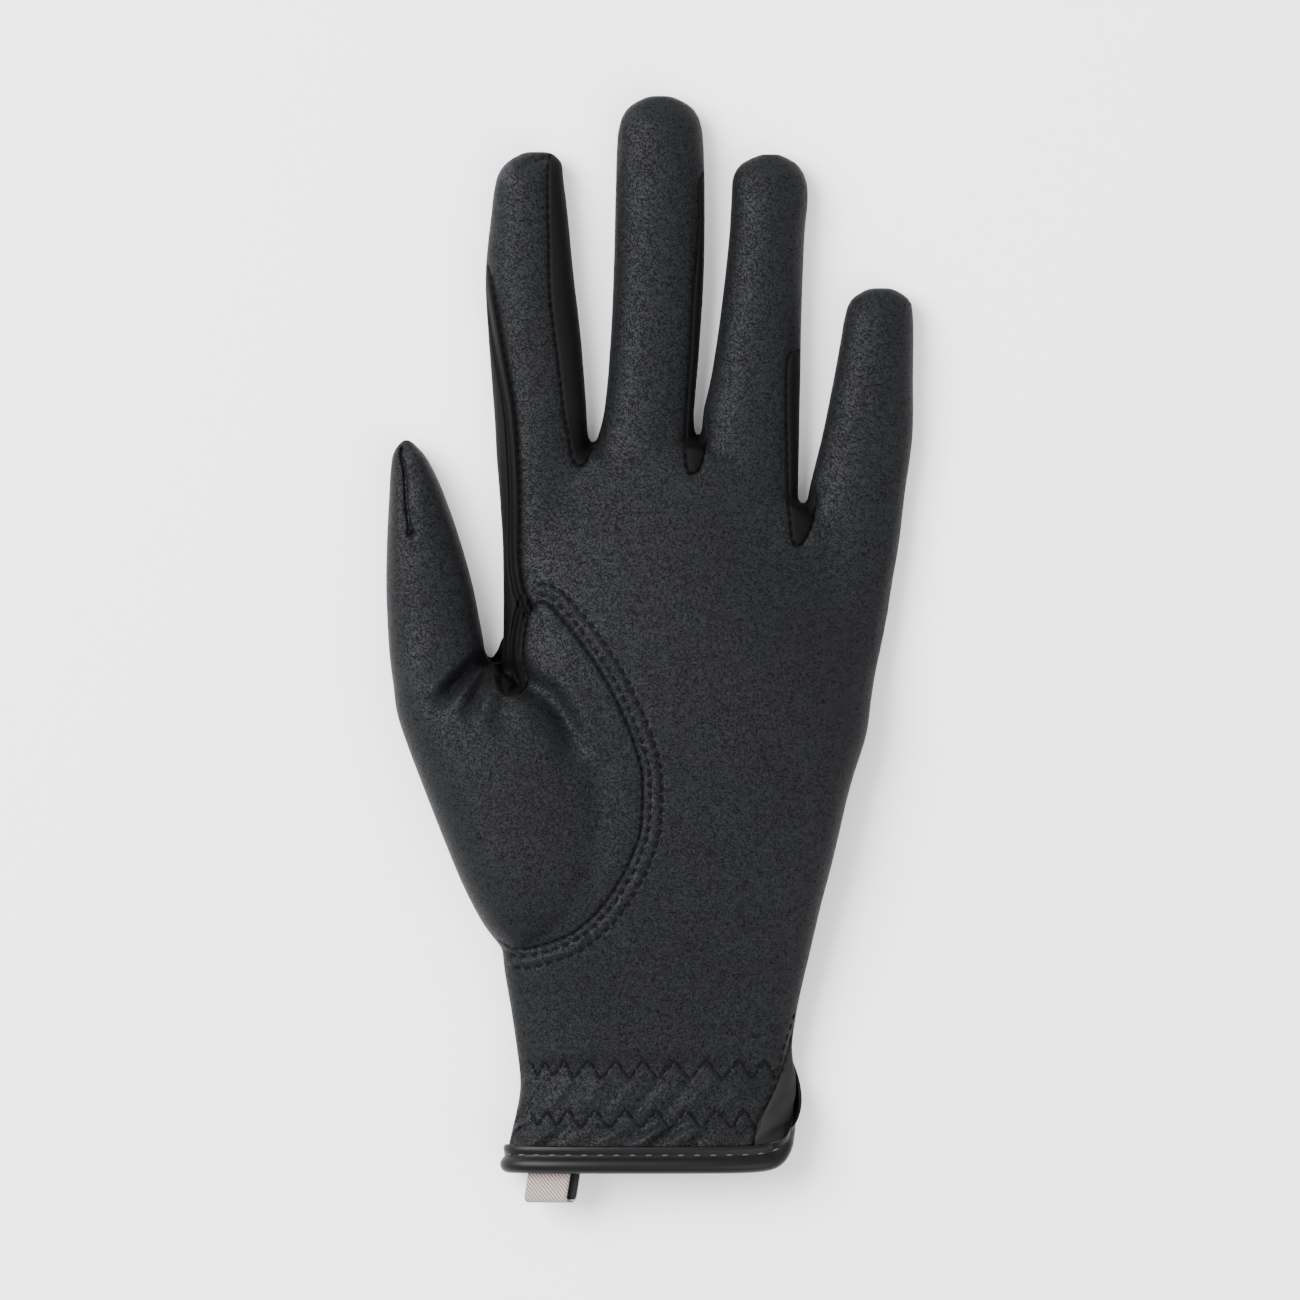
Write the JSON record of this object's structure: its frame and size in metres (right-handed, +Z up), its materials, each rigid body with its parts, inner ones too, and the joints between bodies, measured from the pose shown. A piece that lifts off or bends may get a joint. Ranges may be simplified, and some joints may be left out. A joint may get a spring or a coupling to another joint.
{
  "type": "riding glove",
  "caption": "Left riding glove lying palm up: leather palm and set-in thumb, stretch back, elastic wrist, bound cuff with a small woven tab.",
  "frame": {"origin": "middle of the box round the glove, on the floor that its back rests on", "axes": "+Y from the cuff towards the fingers, +Z up from the back towards the palm side, -X towards the thumb"},
  "size_m": [0.118, 0.2466, 0.0223],
  "materials": {
    "palm_leather": "fine matt grain, charcoal",
    "stretch_fabric": "smooth fine knit, near black",
    "binding_tape": "satin, near black",
    "label_ribbon": "woven twill, pale beige, black reverse"
  },
  "bodies": {
    "root": {"palm_panel": "palm_leather", "thumb_piece": "palm_leather", "back_panel": "stretch_fabric", "fourchette_index_middle": "stretch_fabric", "fourchette_middle_ring": "stretch_fabric", "fourchette_ring_little": "stretch_fabric", "cuff_binding": "binding_tape", "label_loop": "label_ribbon"}
  },
  "joints": []
}
